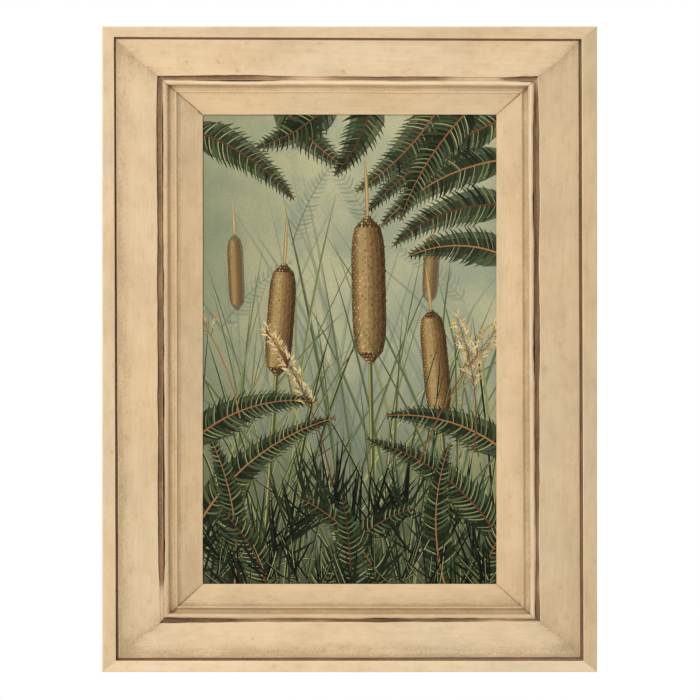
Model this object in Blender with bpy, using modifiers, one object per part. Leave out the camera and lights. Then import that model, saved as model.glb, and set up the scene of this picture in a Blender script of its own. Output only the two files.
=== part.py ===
"""Framed wall picture: three mitred rings of pale wood round a print on a stiff panel.

Metres, +Z up. The picture faces -Y and a wall would lie on its +Y side. The origin is
the middle notch of the hanger, where the wall's nail bears, in the plane of the frame's
back. Heights are measured forwards from that plane, and insets inwards from the frame's
outer edge.
"""

import math

import bmesh
import bpy
from mathutils import Matrix, Vector

# Outline of the frame, and how far the hanger's notch lies below its top edge
WIDTH = 0.428
HEIGHT = 0.5584
HANG_DROP = 0.032

# Insets of the lines that the three rings share, one pair for each side: the inset at the
# side's first end and at its last, walking clockwise as seen from the front
SIDES = ("top", "right", "bottom", "left")
OUTER_EDGE = {"top": (0, 0), "right": (0, 0), "bottom": (0, 0), "left": (0, 0)}
STRIP_INNER = {
    "top": (0.0091, 0.0108),
    "right": (0.0134, 0.0117),
    "bottom": (0.0097, 0.0098),
    "left": (0.0118, 0.0102),
}
BOARD_OUTER = {
    "top": (0.0108, 0.0126),
    "right": (0.0159, 0.0144),
    "bottom": (0.0128, 0.0119),
    "left": (0.0141, 0.0115),
}
BOARD_INNER = {
    "top": (0.0425, 0.0435),
    "right": (0.0502, 0.0497),
    "bottom": (0.0437, 0.0428),
    "left": (0.0496, 0.0473),
}
MOULDING_OUTER = {
    "top": (0.0462, 0.0474),
    "right": (0.0551, 0.0529),
    "bottom": (0.0458, 0.0463),
    "left": (0.0532, 0.0517),
}
SIGHT_SIDE = 0.0866
SIGHT_END = 0.0756
SIGHT = {
    "top": (SIGHT_END, SIGHT_END),
    "right": (SIGHT_SIDE, SIGHT_SIDE),
    "bottom": (SIGHT_END, SIGHT_END),
    "left": (SIGHT_SIDE, SIGHT_SIDE),
}

# Heights of the wood above the back
STRIP_TOP = 0.0270
GAP_FLOOR = 0.0205
BOARD_TOP = 0.0240
GROOVE_FLOOR = 0.0205
BEAD_TOP = 0.0268
BEAD_FOOT = 0.0240
COVE_DEPTH = 0.0016
FILLET_TOP = 0.0236
FILLET_FOOT = 0.0228
SIGHT_TOP = 0.0172
REBATE_CEILING = 0.0158

# The moulding's section, as shares of the way from its outer edge to the sight edge
BEAD_SHARE = 0.16
FILLET_START = 0.31
FILLET_END = 0.355
REBATE_SHARE = 0.73

STRIP_ROUND = 0.0012
BOARD_ROUND = 0.0008
SIGHT_ROUND = 0.0007
ROUND_STEPS = 4
BEAD_STEPS = 8
COVE_STEPS = 4

# Clearance between pieces that touch, and the setback that gives it at a mitre
GAP = 0.0003
MITRE_SETBACK = 0.0003

# The print's panel and the backing behind it
PANEL_SIDE_LAP = 0.0080
PANEL_END_LAP = 0.0074
PANEL_THICKNESS = 0.003
BACKING_THICKNESS = 0.003

# Flexible points that hold the backing, in slots in the rebate's wall
POINT_LENGTH = 0.013
POINT_WIDTH = 0.005
POINT_TIP = 0.0025
POINT_THICKNESS = 0.0005
POINT_DEPTH = 0.0045
POINT_PLACES = {
    "top": (0.35, 0.65),
    "right": (0.25, 0.5, 0.75),
    "bottom": (0.35, 0.65),
    "left": (0.25, 0.5, 0.75),
}

# Corner nails, bent to a V across each mitre
NAIL_LEG = 0.005
NAIL_THICKNESS = 0.0008
NAIL_SPREAD = math.radians(62)
NAIL_HEIGHT = 0.010

# Sawtooth hanger and its two nails
HANGER_LENGTH = 0.046
HANGER_THICKNESS = 0.0008
HANGER_RAISED = 0.026
HANGER_RAMP = 0.003
HANGER_LIFT = 0.0016
HANGER_ABOVE = 0.0065
TOOTH_DEPTH = 0.0020
TOOTH_PITCH = 0.0026
TOOTH_COUNT = 9
HANGER_NAIL_X = 0.0190
PIN_RADIUS = 0.0008
PIN_LENGTH = 0.0100
PIN_HEAD_RADIUS = 0.0020
PIN_HEAD_HEIGHT = 0.0008
PIN_TIP = 0.0015
PIN_STEPS = 16

# Rubber bumpers at the lower back corners
BUMPER_RADIUS = 0.005
BUMPER_THICKNESS = 0.003
BUMPER_ROUND = 0.0005
BUMPER_X = 0.160
BUMPER_RISE = 0.030
BUMPER_SIDES = 32

CUTTER_MARGIN = 0.001

TOP_Z = HANG_DROP
BOTTOM_Z = HANG_DROP - HEIGHT
MIDDLE_Z = HANG_DROP - HEIGHT / 2

# Name, colour, roughness and metallic value of each material
FINISHES = {
    "strip_wood": ((0.68, 0.51, 0.33), 0.62, 0.0),
    "board_wood": ((0.67, 0.50, 0.33), 0.66, 0.0),
    "moulding_wood": ((0.69, 0.53, 0.35), 0.62, 0.0),
    "print": ((0.33, 0.36, 0.24), 0.75, 0.0),
    "backing": ((0.30, 0.18, 0.09), 0.80, 0.0),
    "steel": ((0.55, 0.55, 0.56), 0.35, 1.0),
    "brassed_steel": ((0.70, 0.55, 0.28), 0.35, 1.0),
    "rubber": ((0.05, 0.05, 0.05), 0.70, 0.0),
}


def clear_scene():
    """Remove every object, so that the part starts from nothing."""
    for item in list(bpy.data.objects):
        bpy.data.objects.remove(item, do_unlink=True)


def new_collection(name):
    """A collection of the scene's own."""
    made = bpy.data.collections.new(name)
    bpy.context.scene.collection.children.link(made)
    return made


def make_materials():
    """One Principled material for each finish."""
    made = {}
    for name, (colour, roughness, metallic) in FINISHES.items():
        material = bpy.data.materials.new(name)
        material.use_nodes = True
        shader = material.node_tree.nodes["Principled BSDF"]
        shader.inputs["Base Color"].default_value = (*colour, 1)
        shader.inputs["Roughness"].default_value = roughness
        shader.inputs["Metallic"].default_value = metallic
        made[name] = material
    return made


def corners(line):
    """A line's four corners in the XZ plane, clockwise from the top left."""
    top, right, bottom, left = (line[side] for side in SIDES)
    low_x = -WIDTH / 2
    high_x = WIDTH / 2
    return (
        Vector((low_x + left[1], TOP_Z - top[0])),
        Vector((high_x - right[0], TOP_Z - top[1])),
        Vector((high_x - right[1], BOTTOM_Z + bottom[0])),
        Vector((low_x + left[0], BOTTOM_Z + bottom[1])),
    )


def moved_in(line, distance):
    """The line, moved inwards by one distance on all sides."""
    return {side: (a + distance, b + distance) for side, (a, b) in line.items()}


def between(first, last, share):
    """The line at a share of the way from one line to another."""
    made = {}
    for side in SIDES:
        ends = zip(first[side], last[side])
        made[side] = tuple(a + (b - a) * share for a, b in ends)
    return made


def arris(line, direction, height, radius):
    """A quarter round from a stick's wall on the line up to its face.

    The direction is 1 where the face lies inwards of the line and -1 where it lies
    outwards. A round of direction -1 runs the other way, from the face down to the wall.
    """
    made = []
    for step in range(ROUND_STEPS + 1):
        angle = math.pi / 2 * step / ROUND_STEPS
        inward = direction * radius * (1 - math.cos(angle))
        drop = radius * (1 - math.sin(angle))
        made.append((moved_in(line, inward), height - drop))
    return made if direction > 0 else made[::-1]


def strip_section():
    """The outer strip: a plain square batten with rounded front edges."""
    section = [(OUTER_EDGE, 0)]
    section += arris(OUTER_EDGE, 1, STRIP_TOP, STRIP_ROUND)
    section += arris(STRIP_INNER, -1, STRIP_TOP, BOARD_ROUND)
    section.append((STRIP_INNER, 0))
    return section


def board_section():
    """The flat board, with a low tongue on each edge that carries it to its neighbours."""
    outer_seat = moved_in(STRIP_INNER, GAP)
    inner_seat = moved_in(MOULDING_OUTER, -GAP)
    section = [(outer_seat, 0), (outer_seat, GAP_FLOOR), (BOARD_OUTER, GAP_FLOOR)]
    section += arris(BOARD_OUTER, 1, BOARD_TOP, BOARD_ROUND)
    section += arris(BOARD_INNER, -1, BOARD_TOP, BOARD_ROUND)
    section += [(BOARD_INNER, GROOVE_FLOOR), (inner_seat, GROOVE_FLOOR), (inner_seat, 0)]
    return section


def bead_and_cove():
    """The moulding's half-round bead and the hollow beside it."""
    section = []
    for step in range(BEAD_STEPS + 1):
        angle = math.pi * step / BEAD_STEPS
        share = BEAD_SHARE / 2 * (1 - math.cos(angle))
        height = BEAD_FOOT + (BEAD_TOP - BEAD_FOOT) * math.sin(angle)
        section.append((between(MOULDING_OUTER, SIGHT, share), height))
    for step in range(1, COVE_STEPS):
        way = step / COVE_STEPS
        share = BEAD_SHARE + (FILLET_START - BEAD_SHARE) * way
        rim = BEAD_FOOT + (FILLET_TOP - BEAD_FOOT) * way
        height = rim - COVE_DEPTH * math.sin(math.pi * way)
        section.append((between(MOULDING_OUTER, SIGHT, share), height))
    return section


def moulding_section():
    """The inner moulding: bead, cove, fillet, falling flat band and rebate."""
    fillet_start = between(MOULDING_OUTER, SIGHT, FILLET_START)
    fillet_end = between(MOULDING_OUTER, SIGHT, FILLET_END)
    rebate_wall = between(MOULDING_OUTER, SIGHT, REBATE_SHARE)
    section = [(MOULDING_OUTER, 0)]
    section += bead_and_cove()
    section += [(fillet_start, FILLET_TOP), (fillet_end, FILLET_TOP), (fillet_end, FILLET_FOOT)]
    section += arris(SIGHT, -1, SIGHT_TOP, SIGHT_ROUND)
    section += [(SIGHT, REBATE_CEILING), (rebate_wall, REBATE_CEILING), (rebate_wall, 0)]
    return section


def finish(item, collection, material):
    """Put an object in its collection and give it its material."""
    collection.objects.link(item)
    item.data.materials.clear()
    item.data.materials.append(material)
    return item


def stick(name, side, section, collection, material):
    """A mitred stick of one side: a loft of the section between its two mitres."""
    first = SIDES.index(side)
    last = (first + 1) % len(SIDES)
    mesh = bpy.data.meshes.new(name)
    shape = bmesh.new()
    rows = []
    for line, height in section:
        found = corners(line)
        along = (found[last] - found[first]).normalized() * MITRE_SETBACK
        start = found[first] + along
        end = found[last] - along
        rows.append(
            (shape.verts.new((start.x, -height, start.y)), shape.verts.new((end.x, -height, end.y)))
        )
    for (a, b), (c, d) in zip(rows, rows[1:] + rows[:1]):
        shape.faces.new((a, b, d, c))
    caps = [
        shape.faces.new([row[0] for row in rows]),
        shape.faces.new([row[1] for row in reversed(rows)]),
    ]
    bmesh.ops.recalc_face_normals(shape, faces=shape.faces)
    bmesh.ops.triangulate(shape, faces=caps)
    shape.to_mesh(mesh)
    shape.free()
    return finish(bpy.data.objects.new(name, mesh), collection, material)


def box(name, low, high, collection, material):
    """A box between two corners, from the cube primitive."""
    mesh = bpy.data.meshes.new(name)
    shape = bmesh.new()
    bmesh.ops.create_cube(shape, size=1)
    low = Vector(low)
    size = Vector(high) - low
    place = Matrix.Translation(low + size / 2) @ Matrix.Diagonal((*size, 1))
    bmesh.ops.transform(shape, matrix=place, verts=shape.verts)
    shape.to_mesh(mesh)
    shape.free()
    return finish(bpy.data.objects.new(name, mesh), collection, material)


def plate(name, outline, thickness, place, collection, material):
    """A flat plate: a filled outline, extruded evenly to both sides of its own plane."""
    curve = bpy.data.curves.new(name, "CURVE")
    curve.dimensions = "2D"
    curve.fill_mode = "BOTH"
    curve.extrude = thickness / 2
    spline = curve.splines.new("POLY")
    spline.points.add(len(outline) - 1)
    for point, (x, y) in zip(spline.points, outline):
        point.co = (x, y, 0, 1)
    spline.use_cyclic_u = True
    item = finish(bpy.data.objects.new(name, curve), collection, material)
    item.matrix_world = place
    return item


def as_mesh(item, collection, material):
    """The curve object as a closed mesh object in the same place, in the curve's stead."""
    bpy.context.view_layer.update()
    name = item.name
    place = item.matrix_world.copy()
    evaluated = item.evaluated_get(bpy.context.evaluated_depsgraph_get())
    mesh = bpy.data.meshes.new_from_object(evaluated)
    shape = bmesh.new()
    shape.from_mesh(mesh)
    bmesh.ops.remove_doubles(shape, verts=shape.verts, dist=0.000001)
    bmesh.ops.recalc_face_normals(shape, faces=shape.faces)
    shape.to_mesh(mesh)
    shape.free()
    bpy.data.objects.remove(item, do_unlink=True)
    made = finish(bpy.data.objects.new(name, mesh), collection, material)
    made.name = name
    made.matrix_world = place
    return made


def hide_cutter(item):
    """Show a cutter as wire only, and keep it out of renders."""
    item.hide_render = True
    item.display_type = "WIRE"
    return item


def cut(item, cutter):
    """Cut an object with a cutter by a Boolean modifier."""
    modifier = item.modifiers.new(cutter.name, "BOOLEAN")
    modifier.operation = "DIFFERENCE"
    modifier.object = cutter


def wall_place(x, z, height, turn):
    """A place in a plane parallel to the back, for outlines drawn in x and up.

    The plane lies at a height above the back, and the outline is turned clockwise as
    seen from the front.
    """
    upright = Matrix.Rotation(math.pi / 2, 4, "X")
    return Matrix.Translation((x, -height, z)) @ Matrix.Rotation(turn, 4, "Y") @ upright


def side_turn(side):
    """The turn that brings an outline drawn for the top side to another side."""
    return math.pi / 2 * SIDES.index(side)


def point_outline(margin):
    """A flexible point for the top side, tip upwards, from the rebate's wall at 0."""
    half = POINT_WIDTH / 2 + margin
    tip = POINT_DEPTH + margin
    tail = POINT_DEPTH - POINT_LENGTH
    shoulder = POINT_DEPTH - POINT_TIP + margin
    return [(-half, tail), (half, tail), (half, shoulder), (0, tip), (-half, shoulder)]


def rebate_wall_place(side, share):
    """Where a share of the way along a side's rebate wall lies, in the XZ plane."""
    found = corners(between(MOULDING_OUTER, SIGHT, REBATE_SHARE))
    first = SIDES.index(side)
    return found[first].lerp(found[(first + 1) % len(SIDES)], share)


def add_points(sticks, parts, cutters, steel):
    """The flexible points, each in its slot in the rebate's wall."""
    backing_back = REBATE_CEILING - 2 * GAP - PANEL_THICKNESS - BACKING_THICKNESS
    height = backing_back - GAP - POINT_THICKNESS / 2
    number = 0
    for side in SIDES:
        for share in POINT_PLACES[side]:
            number += 1
            spot = rebate_wall_place(side, share)
            place = wall_place(spot.x, spot.y, height, side_turn(side))
            name = f"retainer_point_{number}"
            plate(name, point_outline(0), POINT_THICKNESS, place, parts, steel)
            slot = plate(
                f"point_slot_{number}",
                point_outline(GAP),
                POINT_THICKNESS + 2 * GAP,
                place,
                cutters,
                steel,
            )
            cut(sticks[side], hide_cutter(as_mesh(slot, cutters, steel)))


def chevron(margin):
    """A V seen from its end, apex upwards, with a margin all round."""
    half = NAIL_THICKNESS / 2 + margin
    leg = NAIL_LEG + margin
    slope = Vector((math.sin(NAIL_SPREAD), -math.cos(NAIL_SPREAD)))
    across = Vector((-slope.y, slope.x)) * half
    apex = half / math.sin(NAIL_SPREAD)
    outer = slope * leg + across
    inner = slope * leg - across
    return [
        (0, apex),
        (-outer.x, outer.y),
        (-inner.x, inner.y),
        (0, -apex),
        (inner.x, inner.y),
        (outer.x, outer.y),
    ]


def add_corner_nails(ring, sticks, outer, inner, parts, cutters, steel):
    """A V nail across each mitre of a ring, driven just below the back."""
    outside = corners(outer)
    inside = corners(inner)
    for index, side in enumerate(SIDES):
        middle = outside[index].lerp(inside[index], 0.5)
        mitre = outside[index] - inside[index]
        turn = math.atan2(mitre.x, mitre.y)
        name = f"corner_nail_{ring}_{index + 1}"
        place = wall_place(middle.x, middle.y, GAP + NAIL_HEIGHT / 2, turn)
        plate(name, chevron(0), NAIL_HEIGHT, place, parts, steel)
        depth = NAIL_HEIGHT + 2 * GAP + CUTTER_MARGIN
        place = wall_place(middle.x, middle.y, depth / 2 - CUTTER_MARGIN, turn)
        pocket = plate(f"pocket_{ring}_{index + 1}", chevron(GAP), depth, place, cutters, steel)
        pocket = hide_cutter(as_mesh(pocket, cutters, steel))
        before = SIDES[index - 1]
        cut(sticks[side], pocket)
        cut(sticks[before], pocket)


def panel(name, front, thickness, parts, material):
    """A sheet that fills the rebate, with its front at a height above the back."""
    half_width = WIDTH / 2 - SIGHT_SIDE + PANEL_SIDE_LAP
    half_height = HEIGHT / 2 - SIGHT_END + PANEL_END_LAP
    low = (-half_width, -front, MIDDLE_Z - half_height)
    high = (half_width, thickness - front, MIDDLE_Z + half_height)
    return box(name, low, high, parts, material)


def hanger_outline():
    """The hanger's strap seen from above: flat tabs and a raised middle."""
    half = HANGER_LENGTH / 2
    raised = HANGER_RAISED / 2
    knee = raised + HANGER_RAMP
    low = GAP
    high = GAP + HANGER_LIFT
    wall_side = [(-half, low), (-knee, low), (-raised, high), (raised, high), (knee, low), (half, low)]
    room_side = [(x, y + HANGER_THICKNESS) for x, y in reversed(wall_side)]
    return wall_side + room_side


def tooth_cutter(cutters, steel):
    """One comb of triangles that cuts the notches between the hanger's teeth."""
    reach = TOOTH_COUNT * TOOTH_PITCH / 2
    base = -TOOTH_DEPTH - CUTTER_MARGIN
    outline = [(-reach, base)]
    for tooth in range(TOOTH_COUNT):
        left = -reach + tooth * TOOTH_PITCH
        outline += [(left, -TOOTH_DEPTH), (left + TOOTH_PITCH / 2, 0)]
    outline += [(reach, -TOOTH_DEPTH), (reach, base)]
    depth = 4 * (HANGER_LIFT + HANGER_THICKNESS)
    comb = plate("tooth_comb", outline, depth, wall_place(0, 0, 0, 0), cutters, steel)
    return hide_cutter(as_mesh(comb, cutters, steel))


def pin_cutter(name, x, z, cutters, steel):
    """A round hole for a hanger nail, through the hanger's tab and into the wood."""
    mesh = bpy.data.meshes.new(name)
    shape = bmesh.new()
    deep = PIN_LENGTH + GAP
    bmesh.ops.create_cone(
        shape,
        cap_ends=True,
        segments=PIN_STEPS,
        radius1=PIN_RADIUS + GAP,
        radius2=PIN_RADIUS + GAP,
        depth=2 * deep,
    )
    shape.to_mesh(mesh)
    shape.free()
    item = finish(bpy.data.objects.new(name, mesh), cutters, steel)
    item.matrix_world = Matrix.Translation((x, 0, z)) @ Matrix.Rotation(math.pi / 2, 4, "X")
    return hide_cutter(item)


def turned_pin(name, x, z, parts, steel):
    """A small nail, turned from its profile, with its head on the hanger's tab."""
    seat = 2 * GAP + HANGER_THICKNESS
    profile = [
        (0, seat + PIN_HEAD_HEIGHT),
        (PIN_HEAD_RADIUS, seat + PIN_HEAD_HEIGHT),
        (PIN_HEAD_RADIUS, seat),
        (PIN_RADIUS, seat),
        (PIN_RADIUS, PIN_TIP - PIN_LENGTH),
        (0, -PIN_LENGTH),
    ]
    mesh = bpy.data.meshes.new(name)
    shape = bmesh.new()
    verts = [shape.verts.new((radius, 0, height)) for radius, height in profile]
    for first, last in zip(verts, verts[1:]):
        shape.edges.new((first, last))
    shape.to_mesh(mesh)
    shape.free()
    item = finish(bpy.data.objects.new(name, mesh), parts, steel)
    item.matrix_world = Matrix.Translation((x, 0, z)) @ Matrix.Rotation(-math.pi / 2, 4, "X")
    screw = item.modifiers.new("turn", "SCREW")
    screw.steps = PIN_STEPS
    screw.render_steps = PIN_STEPS
    screw.use_merge_vertices = True
    screw.merge_threshold = 0.00001
    return item


def add_hanger(top_board, parts, cutters, materials):
    """The sawtooth hanger with its two nails, on the top board's back."""
    height = TOOTH_DEPTH + HANGER_ABOVE
    middle = height / 2 - TOOTH_DEPTH
    brass = materials["brassed_steel"]
    strap = plate("hanger", hanger_outline(), height, Matrix.Translation((0, 0, middle)), parts, brass)
    strap = as_mesh(strap, parts, brass)
    cut(strap, tooth_cutter(cutters, brass))
    for name, x in (("left", -HANGER_NAIL_X), ("right", HANGER_NAIL_X)):
        hole = pin_cutter(f"pin_hole_{name}", x, middle, cutters, brass)
        cut(strap, hole)
        cut(top_board, hole)
        turned_pin(f"hanger_nail_{name}", x, middle, parts, brass)


def add_bumpers(parts, rubber):
    """The two rubber discs that keep the lower back off the wall."""
    for name, x in (("left", -BUMPER_X), ("right", BUMPER_X)):
        mesh = bpy.data.meshes.new(f"bumper_{name}")
        shape = bmesh.new()
        bmesh.ops.create_cone(
            shape,
            cap_ends=True,
            segments=BUMPER_SIDES,
            radius1=BUMPER_RADIUS,
            radius2=BUMPER_RADIUS,
            depth=BUMPER_THICKNESS,
        )
        shape.to_mesh(mesh)
        shape.free()
        disc = finish(bpy.data.objects.new(f"bumper_{name}", mesh), parts, rubber)
        middle = Vector((x, GAP + BUMPER_THICKNESS / 2, BOTTOM_Z + BUMPER_RISE))
        disc.matrix_world = Matrix.Translation(middle) @ Matrix.Rotation(math.pi / 2, 4, "X")
        rounding = disc.modifiers.new("rounding", "BEVEL")
        rounding.width = BUMPER_ROUND
        rounding.segments = 2


def build():
    """The whole framed picture."""
    clear_scene()
    parts = new_collection("framed_wall_picture")
    cutters = new_collection("cutters")
    materials = make_materials()
    steel = materials["steel"]
    rings = {
        "outer_strip": (strip_section(), materials["strip_wood"]),
        "board": (board_section(), materials["board_wood"]),
        "moulding": (moulding_section(), materials["moulding_wood"]),
    }
    sticks = {}
    for ring, (section, wood) in rings.items():
        sticks[ring] = {}
        for side in SIDES:
            sticks[ring][side] = stick(f"{ring}_{side}", side, section, parts, wood)

    front = REBATE_CEILING - GAP
    panel("print_panel", front, PANEL_THICKNESS, parts, materials["print"])
    back_front = front - PANEL_THICKNESS - GAP
    panel("backing_board", back_front, BACKING_THICKNESS, parts, materials["backing"])

    add_points(sticks["moulding"], parts, cutters, steel)
    rebate_wall = between(MOULDING_OUTER, SIGHT, REBATE_SHARE)
    add_corner_nails("board", sticks["board"], STRIP_INNER, MOULDING_OUTER, parts, cutters, steel)
    add_corner_nails("moulding", sticks["moulding"], MOULDING_OUTER, rebate_wall, parts, cutters, steel)
    add_hanger(sticks["board"]["top"], parts, cutters, materials)
    add_bumpers(parts, materials["rubber"])


build()
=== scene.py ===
import math
import random

import bmesh
import bpy
import numpy as np
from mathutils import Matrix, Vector
from mathutils.geometry import delaunay_2d_cdt


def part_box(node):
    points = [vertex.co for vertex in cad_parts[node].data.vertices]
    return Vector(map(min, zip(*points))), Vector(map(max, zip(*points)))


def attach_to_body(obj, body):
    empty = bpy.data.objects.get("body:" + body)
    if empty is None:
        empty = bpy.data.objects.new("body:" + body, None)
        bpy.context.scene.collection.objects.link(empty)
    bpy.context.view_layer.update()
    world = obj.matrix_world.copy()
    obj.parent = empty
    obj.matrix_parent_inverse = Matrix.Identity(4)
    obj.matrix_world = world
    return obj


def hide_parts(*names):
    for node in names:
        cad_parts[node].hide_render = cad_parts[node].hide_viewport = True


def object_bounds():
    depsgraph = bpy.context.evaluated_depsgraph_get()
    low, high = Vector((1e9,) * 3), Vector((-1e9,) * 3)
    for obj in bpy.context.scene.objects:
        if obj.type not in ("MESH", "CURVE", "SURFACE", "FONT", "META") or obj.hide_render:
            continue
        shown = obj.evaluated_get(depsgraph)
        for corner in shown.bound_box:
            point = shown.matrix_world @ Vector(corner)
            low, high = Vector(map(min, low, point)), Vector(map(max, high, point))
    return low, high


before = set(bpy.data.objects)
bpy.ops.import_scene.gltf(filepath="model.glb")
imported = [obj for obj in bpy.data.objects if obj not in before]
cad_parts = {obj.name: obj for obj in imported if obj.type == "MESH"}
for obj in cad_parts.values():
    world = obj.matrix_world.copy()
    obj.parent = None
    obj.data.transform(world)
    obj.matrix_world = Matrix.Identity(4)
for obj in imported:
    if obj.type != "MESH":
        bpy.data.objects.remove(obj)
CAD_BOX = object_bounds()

# Lengths are in metres. Insets are measured inwards from the frame's outer edge, and heights
# forwards from its back, as in the part's source. A side is walked clockwise as seen from the
# front, and a pair of insets holds the one at its first end and the one at its last.
SIDES = ("top", "right", "bottom", "left")


def by_side(*values):
    """A table of one value for each side."""
    return dict(zip(SIDES, values))


INWARDS = by_side((0, -1), (-1, 0), (0, 1), (1, 0))
ALONG = by_side((1, 0), (0, -1), (-1, 0), (0, 1))

LOW_X = CAD_BOX[0].x
HIGH_X = CAD_BOX[1].x
LOW_Z = CAD_BOX[0].z
HIGH_Z = CAD_BOX[1].z
MIDDLE_X = (LOW_X + HIGH_X) / 2
MIDDLE_Z = (LOW_Z + HIGH_Z) / 2
FRONT_Y = CAD_BOX[0].y

OUTER_EDGE = by_side((0, 0), (0, 0), (0, 0), (0, 0))
STRIP_INNER = by_side((0.0091, 0.0108), (0.0134, 0.0117), (0.0097, 0.0098), (0.0118, 0.0102))
BOARD_OUTER = by_side((0.0108, 0.0126), (0.0159, 0.0144), (0.0128, 0.0119), (0.0141, 0.0115))
BOARD_INNER = by_side((0.0425, 0.0435), (0.0502, 0.0497), (0.0437, 0.0428), (0.0496, 0.0473))
MOULDING_OUTER = by_side((0.0462, 0.0474), (0.0551, 0.0529), (0.0458, 0.0463), (0.0532, 0.0517))
SIGHT_SIDE = 0.0866
SIGHT_END = 0.0756
SIGHT = by_side((SIGHT_END,) * 2, (SIGHT_SIDE,) * 2, (SIGHT_END,) * 2, (SIGHT_SIDE,) * 2)

STRIP_TOP = 0.0270
GAP_FLOOR = 0.0205
BOARD_TOP = 0.0240
GROOVE_FLOOR = 0.0205
BEAD_TOP = 0.0268
BEAD_FOOT = 0.0240
COVE_DEPTH = 0.0016
FILLET_TOP = 0.0236
FILLET_FOOT = 0.0228
SIGHT_TOP = 0.0172
REBATE_CEILING = 0.0158
BEAD_SHARE = 0.16
FILLET_START = 0.31
FILLET_END = 0.355
TOE_END = 0.48
REBATE_SHARE = 0.73
SEAT_GAP = 0.0003

# Length of a stick's rows of mesh, steps of a rounded edge, the rim of the back where the bare
# wood ends, and the angle between faces up to which shading runs on
ROW_STEP = 0.0034
ROUND_STEPS = 5
BACK_RIM = 0.0004
SMOOTH_UP_TO = math.radians(38)

# Setback of the visible mitres: a filled joint on the outer rings, an open one on the moulding
MITRES = {"outer_strip": 0.00001, "board": 0.00001, "moulding": 0.00022}

# Colours as the photograph shows them, 0 to 255
# The right-hand strip and board are coloured darker: painted shade for light falling off away from the
# left, along with the wood's own tone
TONES = {
    "outer_strip": by_side((220, 194, 156), (209, 185, 148), (236, 212, 174), (223, 197, 160)),
    "board": by_side((226, 200, 162), (212, 188, 151), (228, 203, 165), (220, 195, 157)),
    "moulding": by_side((224, 197, 156), (220, 191, 151), (219, 193, 154), (216, 189, 149)),
}

# The groove between board and moulding, at stations along each side: the station's place in
# millimetres from the side's middle, clockwise, the groove's width there in tenths of a
# millimetre, and how dark its glaze is, in hundredths
GROOVE_UNITS = (1000, 10000, 100)
GROOVE = {
    "top": (
        (-159, 35, 87), (-141, 38, 82), (-124, 47, 95), (-98, 53, 91), (-85, 56, 76),
        (-72, 46, 67), (-60, 38, 66), (-46, 32, 42), (-29, 30, 27), (-12, 36, 58), (5, 35, 62),
        (23, 32, 66), (40, 37, 68), (75, 35, 69), (83, 35, 55), (92, 30, 40), (109, 28, 29),
        (127, 28, 29), (135, 30, 68), (144, 40, 73), (152, 47, 89), (165, 50, 92),
    ),
    "right": (
        (-234, 27, 39), (-228, 31, 48), (-218, 40, 86), (-208, 43, 100), (-190, 55, 100),
        (-166, 50, 100), (-145, 50, 100), (-130, 61, 100), (-114, 52, 100), (-94, 43, 92),
        (-68, 40, 95), (-42, 48, 96), (-11, 55, 100), (0, 56, 100), (21, 46, 94), (31, 38, 94),
        (52, 41, 86), (72, 46, 89), (93, 38, 93), (110, 41, 86), (130, 36, 86), (145, 32, 64),
        (155, 30, 59), (166, 23, 51), (187, 32, 73), (207, 34, 51), (218, 37, 75), (228, 41, 100),
    ),
    "bottom": (
        (-152, 23, 46), (-135, 23, 38), (-127, 25, 22), (-109, 31, 58), (-83, 33, 72),
        (-57, 29, 61), (-45, 33, 89), (-23, 38, 91), (-5, 28, 72), (12, 30, 68), (25, 31, 49),
        (46, 34, 62), (72, 29, 47), (95, 31, 60), (107, 33, 88), (124, 41, 100), (141, 42, 100),
        (150, 46, 100), (165, 52, 100),
    ),
    "left": (
        (-234, 26, 12), (-218, 29, 21), (-208, 26, 38), (-202, 37, 68), (-197, 46, 81),
        (-187, 55, 85), (-166, 60, 84), (-145, 57, 100), (-114, 61, 100), (-93, 54, 100),
        (-72, 48, 99), (-45, 58, 98), (-21, 51, 94), (-10, 48, 95), (0, 55, 100), (31, 51, 100),
        (62, 57, 94), (90, 49, 100), (104, 47, 95), (135, 51, 100), (177, 56, 94), (197, 54, 100),
        (208, 52, 86), (228, 42, 96),
    ),
}


def placed(name, data):
    """A new object of the scene."""
    made = bpy.data.objects.new(name, data)
    bpy.context.scene.collection.objects.link(made)
    return made


def attach(mesh, name, kind, domain, field, values):
    """A mesh attribute, with a value for each point or corner of the mesh."""
    layer = mesh.attributes.new(name, kind, domain)
    layer.data.foreach_set(field, np.ascontiguousarray(values, "f").ravel())


def linear(colour):
    """A colour of 0 to 255 steps as the renderer's linear values."""
    made = []
    for step in colour:
        share = step / 255
        made.append(share / 12.92 if share <= 0.04045 else ((share + 0.055) / 1.055) ** 2.4)
    return tuple(made)


def corners(line):
    """A line's four corners in x and z, clockwise from the top left."""
    top, right, bottom, left = (line[side] for side in SIDES)
    return (
        Vector((LOW_X + left[1], HIGH_Z - top[0])),
        Vector((HIGH_X - right[0], HIGH_Z - top[1])),
        Vector((HIGH_X - right[1], LOW_Z + bottom[0])),
        Vector((LOW_X + left[0], LOW_Z + bottom[1])),
    )


def moved_in(line, distance):
    """The line, moved inwards by one distance on all sides."""
    return {side: (a + distance, b + distance) for side, (a, b) in line.items()}


def between(first, last, share):
    """The line at a share of the way from one line to another."""
    made = {}
    for side in SIDES:
        ends = zip(first[side], last[side])
        made[side] = tuple(a + (b - a) * share for a, b in ends)
    return made


def wander(seed, places, spacing):
    """A smooth seeded wander of about -1 to 1 along a run of places."""
    draw = np.random.default_rng(seed)
    first = math.floor(places.min() / spacing) - 1
    count = math.ceil(places.max() / spacing) + 3 - first
    knots = draw.uniform(-1, 1, count)
    at = places / spacing - first
    index = np.floor(at).astype(int)
    way = at - index
    way = way * way * (3 - 2 * way)
    return knots[index] * (1 - way) + knots[index + 1] * way


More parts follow.
